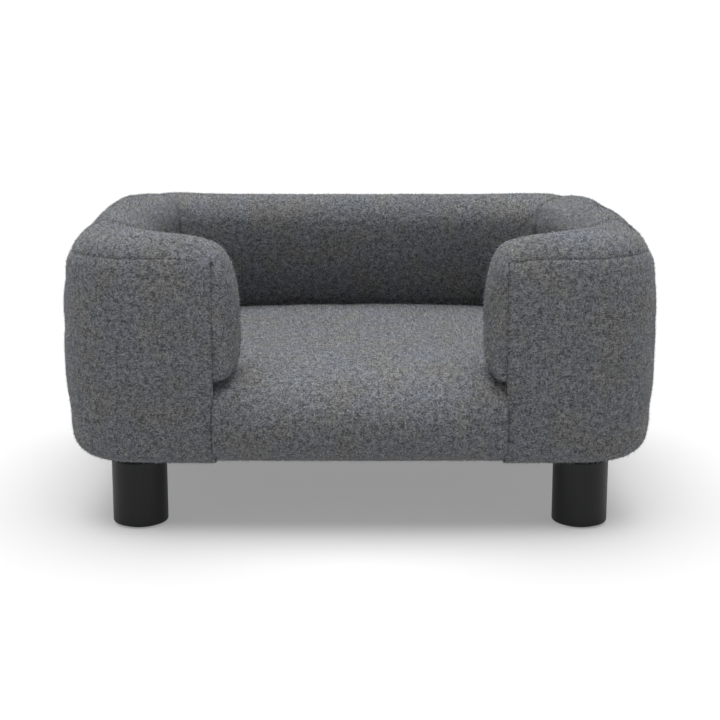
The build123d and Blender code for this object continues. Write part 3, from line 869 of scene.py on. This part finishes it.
def soft_stuff(name, kind, output, pattern, tones, relief, roughness):
    """A soft material whose tones and relief follow one pattern."""
    made, tree, shader = finish_of(name)
    place = add(tree, "ShaderNodeTexCoord")
    grain = add(tree, kind, Vector=place.outputs["Object"], **pattern)
    two_tones(tree, shader, grain.outputs[output], tones, relief, roughness)
    return made


# Polyurethane foam: pale cream, open cells about 1.5 mm across, no gloss
foam = soft_stuff("polyurethane_foam_cream", "ShaderNodeTexVoronoi", "Distance", {"Scale": 650.0},
                  ("#d9cfae", "#efe8cf"), (0.6, 0.0006), 0.9)
# Polyester wadding: white, a loose web of fibres about 0.3 mm thick, a little sheen
batting = soft_stuff("polyester_wadding_white", "ShaderNodeTexNoise", "Fac",
                     {"Scale": 420.0, "Detail": 4.0, "Distortion": 1.5},
                     ("#dcdcdc", "#f6f6f4"), (0.7, 0.0015), 0.85)
batting.node_tree.nodes["Principled BSDF"].inputs["Sheen Weight"].default_value = 0.2


def softened(name, node, finish, drawn_in, voxel):
    """The CAD solid's form with its edges eased and its faces drawn in a little."""
    shape = bmesh.new()
    shape.from_mesh(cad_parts[node].data)
    bmesh.ops.remove_doubles(shape, verts=shape.verts, dist=1e-6)
    bmesh.ops.recalc_face_normals(shape, faces=shape.faces)
    blank = bpy.data.meshes.new(name + "_blank")
    shape.to_mesh(blank)
    shape.free()
    rough = mesh_object(name + "_blank", blank)
    remesh = rough.modifiers.new("even_mesh", "REMESH")
    remesh.mode, remesh.voxel_size = "VOXEL", voxel
    ease = rough.modifiers.new("eased_edges", "SMOOTH")
    ease.factor, ease.iterations = 0.5, 6
    inward = rough.modifiers.new("drawn_in", "DISPLACE")
    inward.strength, inward.mid_level = -drawn_in, 0.0
    made = plain_mesh(rough)
    bpy.data.objects.remove(rough)
    made.polygons.foreach_set("use_smooth", [True] * len(made.polygons))
    made.materials.clear()
    made.materials.append(finish)
    piece = mesh_object(name, made)
    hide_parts(node)
    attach(piece, "bed")


wall_foam_drawn_in, seat_foam_drawn_in, foam_voxel = 0.009, 0.005, 0.005
for side in ("left_", "right_"):
    for block in ("side_wall_foam", "front_corner_foam", "back_corner_foam", "wing_foam"):
        softened(side + block + "_block", side + block, foam, wall_foam_drawn_in,
                 foam_voxel)
softened("back_wall_foam_block", "back_wall_foam", foam, wall_foam_drawn_in, foam_voxel)
softened("seat_foam_slab", "seat_foam", foam, seat_foam_drawn_in, foam_voxel)
wadding_step, below_cover, loft_thickness = 0.006, 0.0028, 0.006
wadding = mesh_object("seat_wadding_layer", panel_mesh(
    "seat_wadding_layer", seat_grids(wadding_step, False), lambda p: seat_settle(p) - below_cover,
    seat_core))
wadding.data.materials.append(batting)
loft = wadding.modifiers.new("loft", "SOLIDIFY")
loft.thickness, loft.offset = loft_thickness, -1.0
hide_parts("seat_wadding")
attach(wadding, "bed")


# Rails, slat and deck
# A base of planed pine rails and a centre slat, with a birch plywood deck screwed
# down on top of them. None of it shows once the bed is covered.

def dress(node, finish):
    """Gives a CAD node's own object its finish."""
    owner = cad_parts[node]
    if not owner.material_slots:
        owner.data.materials.append(finish)
    for slot in owner.material_slots:
        slot.material = finish


def timber(name, pale, dark, stretch, ring, roughness):
    """Timber whose grain runs where stretch is small: ring is the grain's spacing in metres."""
    made, tree, shader = finish_of(name)
    place = add(tree, "ShaderNodeTexCoord")
    laid = add(tree, "ShaderNodeMapping", {"vector_type": "POINT"}, Vector=place.outputs["Object"],
               Scale=stretch)
    bands = add(tree, "ShaderNodeTexNoise", Vector=laid.outputs[0], Scale=0.25 / ring, Detail=5.0,
                Roughness=0.6, Distortion=0.8)
    pores = add(tree, "ShaderNodeTexNoise", Vector=laid.outputs[0], Scale=2.0 / ring, Detail=3.0)
    mixed = add(tree, "ShaderNodeMath", {"operation": "MULTIPLY_ADD"}, n0=pores.outputs["Fac"],
                n1=0.4, n2=bands.outputs["Fac"])
    share = add(tree, "ShaderNodeMapRange", Value=mixed.outputs[0], From_Min=0.45, From_Max=0.95)
    two_tones(tree, shader, share.outputs[0], (pale, dark), (0.25, 0.0003), roughness)
    return made


# Planed pine: pale yellow with growth rings about 3 mm apart, dry and unvarnished
pine_across, pine_deep, pine_upright = [
    timber("planed_pine_grain_" + way, "#e6cda0", "#c49a62", stretch, 0.003, 0.6)
    for way, stretch in (("across", (0.06, 1.0, 1.0)), ("deep", (1.0, 0.06, 1.0)),
                         ("upright", (1.0, 1.0, 0.06)))]
# Birch plywood: paler, with a finer rotary-cut figure about 2 mm wide
birch = timber("birch_plywood", "#e3cfa9", "#cfae7c", (0.12, 1.0, 1.0), 0.002, 0.55)
for node in ("front_rail", "back_rail"):
    dress(node, pine_across)
for node in ("left_rail", "right_rail", "centre_slat"):
    dress(node, pine_deep)
dress("deck_board", birch)


# Panels and posts
# Birch plywood panels stand on the deck inside the walls and keep them upright,
# screwed to four square pine posts in the corners.

for node in ("left_panel", "right_panel", "back_panel", "front_panel"):
    dress(node, birch)
dress("corner_posts", pine_upright)


# Screws, tee nuts, staples and washers
# Countersunk steel wood screws, pressed steel tee nuts that take the legs' bolts,
# galvanised staples that hold the hems, and a flat washer under each leg.

def steel(name, pale, dark, roughness, speck):
    """Steel with a thin plated coat: speck is the size of its mottle in metres."""
    made, tree, shader = finish_of(name)
    place = add(tree, "ShaderNodeTexCoord")
    mottle = add(tree, "ShaderNodeTexNoise", Vector=place.outputs["Object"], Scale=1.0 / speck,
                 Detail=3.0)
    colour = add(tree, "ShaderNodeMix", rgba, Factor=mottle.outputs["Fac"],
                 n6=linear(dark), n7=linear(pale))
    tree.links.new(colour.outputs[2], shader.inputs["Base Color"])
    dull = add(tree, "ShaderNodeMapRange", Value=mottle.outputs["Fac"], To_Min=roughness - 0.08,
               To_Max=roughness + 0.08)
    tree.links.new(dull.outputs[0], shader.inputs["Roughness"])
    shader.inputs["Metallic"].default_value = 1.0
    return made


# Zinc-plated steel: pale blue-grey with a faint spangle about 1.5 mm across
zinc = steel("zinc_plated_steel", "#c9ced3", "#a9afb6", 0.36, 0.0015)
# Yellow-passivated screw steel: warm straw colour, a little glossier
screw_steel = steel("yellow_passivated_screw_steel", "#d8c38c", "#b79f66", 0.32, 0.001)
for node in ("deck_screws", "panel_screws", "post_screws"):
    dress(node, screw_steel)
for node in ("tee_nuts", "staples"):
    dress(node, zinc)


# Dust cover
# A sheet of black spun-bonded polypropylene stapled over the underside, which
# keeps dust out and hides the raw edges of the hems.

# Spun-bonded polypropylene: black, matt, with a grid of small fused dots 2 mm apart
spunbond, tree, shader = finish_of("spunbond_polypropylene_black")
place = add(tree, "ShaderNodeTexCoord")
dots = add(tree, "ShaderNodeTexVoronoi", Vector=place.outputs["Object"], Scale=500.0,
           Randomness=0.15)
dot_share = add(tree, "ShaderNodeMapRange", Value=dots.outputs["Distance"], From_Min=0.2,
                From_Max=0.45)
two_tones(tree, shader, dot_share.outputs[0], ("#141416", "#232326"), (0.4, 0.0003), 0.8)
# Cut as large as the CAD cover, with a hole round each leg's bolt
cover_corners = [Vector(v.co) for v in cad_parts["dust_cover"].data.vertices]
half_sheet_x = max(v.x for v in cover_corners)
half_sheet_y = max(v.y for v in cover_corners)
half_bed_width = axis_x + corner_radius
sheet_bend = corner_radius - (half_bed_width - half_sheet_x)
sheet_height, sheet_cell, sheet_thickness = 0.0755, 0.0063, 0.0005
bolt_x, bolt_y, bolt_hole = 0.241, 0.170, 0.0132
bolt_column, bolt_row = 38, 27
hole_rings, blend_rings = 2, 4
taut_edge, sheet_wave, sheet_sag = 0.06, 0.0007, 0.0008


def sheet_places(bolt, cells, edge):
    """Places from the sheet's middle to a bolt's line, in so many cells, and on to its edge."""
    beyond = round((edge - bolt) / sheet_cell)
    return ([k * bolt / cells for k in range(cells + 1)]
            + [bolt + k * (edge - bolt) / beyond for k in range(1, beyond + 1)])


across = sheet_places(bolt_x, bolt_column, half_sheet_x)
along = sheet_places(bolt_y, bolt_row, half_sheet_y)
shape = bmesh.new()
laid, in_hole, past_corner = {}, {}, {}
for i in range(-len(across) + 1, len(across)):
    for j in range(-len(along) + 1, len(along)):
        x, y = across[abs(i)], along[abs(j)]
        ring = max(abs(abs(i) - bolt_column), abs(abs(j) - bolt_row))
        in_hole[i, j] = ring < hole_rings
        if hole_rings <= ring < hole_rings + blend_rings:
            away = Vector((x - bolt_x, y - bolt_y))
            blend = (ring - hole_rings) / blend_rings
            away = away.normalized() * (bolt_hole + (away.length - bolt_hole) * blend)
            x, y = bolt_x + away.x, bolt_y + away.y
        corner = Vector((x - (half_sheet_x - sheet_bend), y - (half_sheet_y - sheet_bend)))
        past_corner[i, j] = corner.x > 0 and corner.y > 0 and corner.length > sheet_bend
        if past_corner[i, j]:
            corner = corner.normalized() * sheet_bend
            x, y = half_sheet_x - sheet_bend + corner.x, half_sheet_y - sheet_bend + corner.y
        place = Vector((math.copysign(x, i), math.copysign(y, j), sheet_height))
        slack = smooth(min(half_sheet_x - x, half_sheet_y - y), 0.0, taut_edge)
        place.z += slack * (sheet_wave * noise.noise(place * 14) - sheet_sag)
        laid[i, j] = shape.verts.new(place)
for i in range(-len(across) + 1, len(across) - 1):
    for j in range(-len(along) + 1, len(along) - 1):
        corners = [(i, j), (i, j + 1), (i + 1, j + 1), (i + 1, j)]
        if any(in_hole[c] for c in corners) or all(past_corner[c] for c in corners):
            continue
        shape.faces.new([laid[c] for c in corners]).smooth = True
bmesh.ops.delete(shape, geom=[v for v in shape.verts if not v.link_faces], context="VERTS")
bmesh.ops.dissolve_degenerate(shape, edges=shape.edges, dist=1e-6)
sheet_area = sum(face.calc_area() for face in shape.faces)
sheet_mesh = bpy.data.meshes.new("dust_cover_sheet")
shape.to_mesh(sheet_mesh)
shape.free()
dust_sheet = mesh_object("dust_cover_sheet", sheet_mesh)
sheet_mesh.materials.append(spunbond)
sheet_body = dust_sheet.modifiers.new("sheet_thickness", "SOLIDIFY")
sheet_body.thickness, sheet_body.offset = sheet_thickness, 0.0
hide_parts("dust_cover")
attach(dust_sheet, "bed")


# Legs
# Four round legs turned from 60 mm beech, stained black and lacquered satin, each
# on a hanger bolt screwed into its top, with a felt pad glued under it.

# Black-stained beech under satin lacquer: nearly black, the grain just visible
stained = timber("black_stained_beech", "#121315", "#08090b", (1.0, 1.0, 0.05), 0.004, 0.5)
shader = stained.node_tree.nodes["Principled BSDF"]
shader.inputs["Specular IOR Level"].default_value = 0.25
shader.inputs["Coat Weight"].default_value = 0.08
shader.inputs["Coat Roughness"].default_value = 0.25
# Pressed wool felt: dark grey, hairy, with fibres drawn about 0.8 mm thick
pad_felt = soft_stuff("pressed_felt_dark_grey", "ShaderNodeTexNoise", "Fac",
                      {"Scale": 900.0, "Detail": 4.0, "Distortion": 1.0},
                      ("#2c2c2e", "#4a4a4d"), (0.6, 0.0008), 0.95)
for corner in ("front_left", "front_right", "back_left", "back_right"):
    dress("leg_" + corner, stained)
    dress("hanger_bolt_" + corner, zinc)
    dress("leg_washer_" + corner, zinc)
    dress("felt_pad_" + corner, pad_felt)
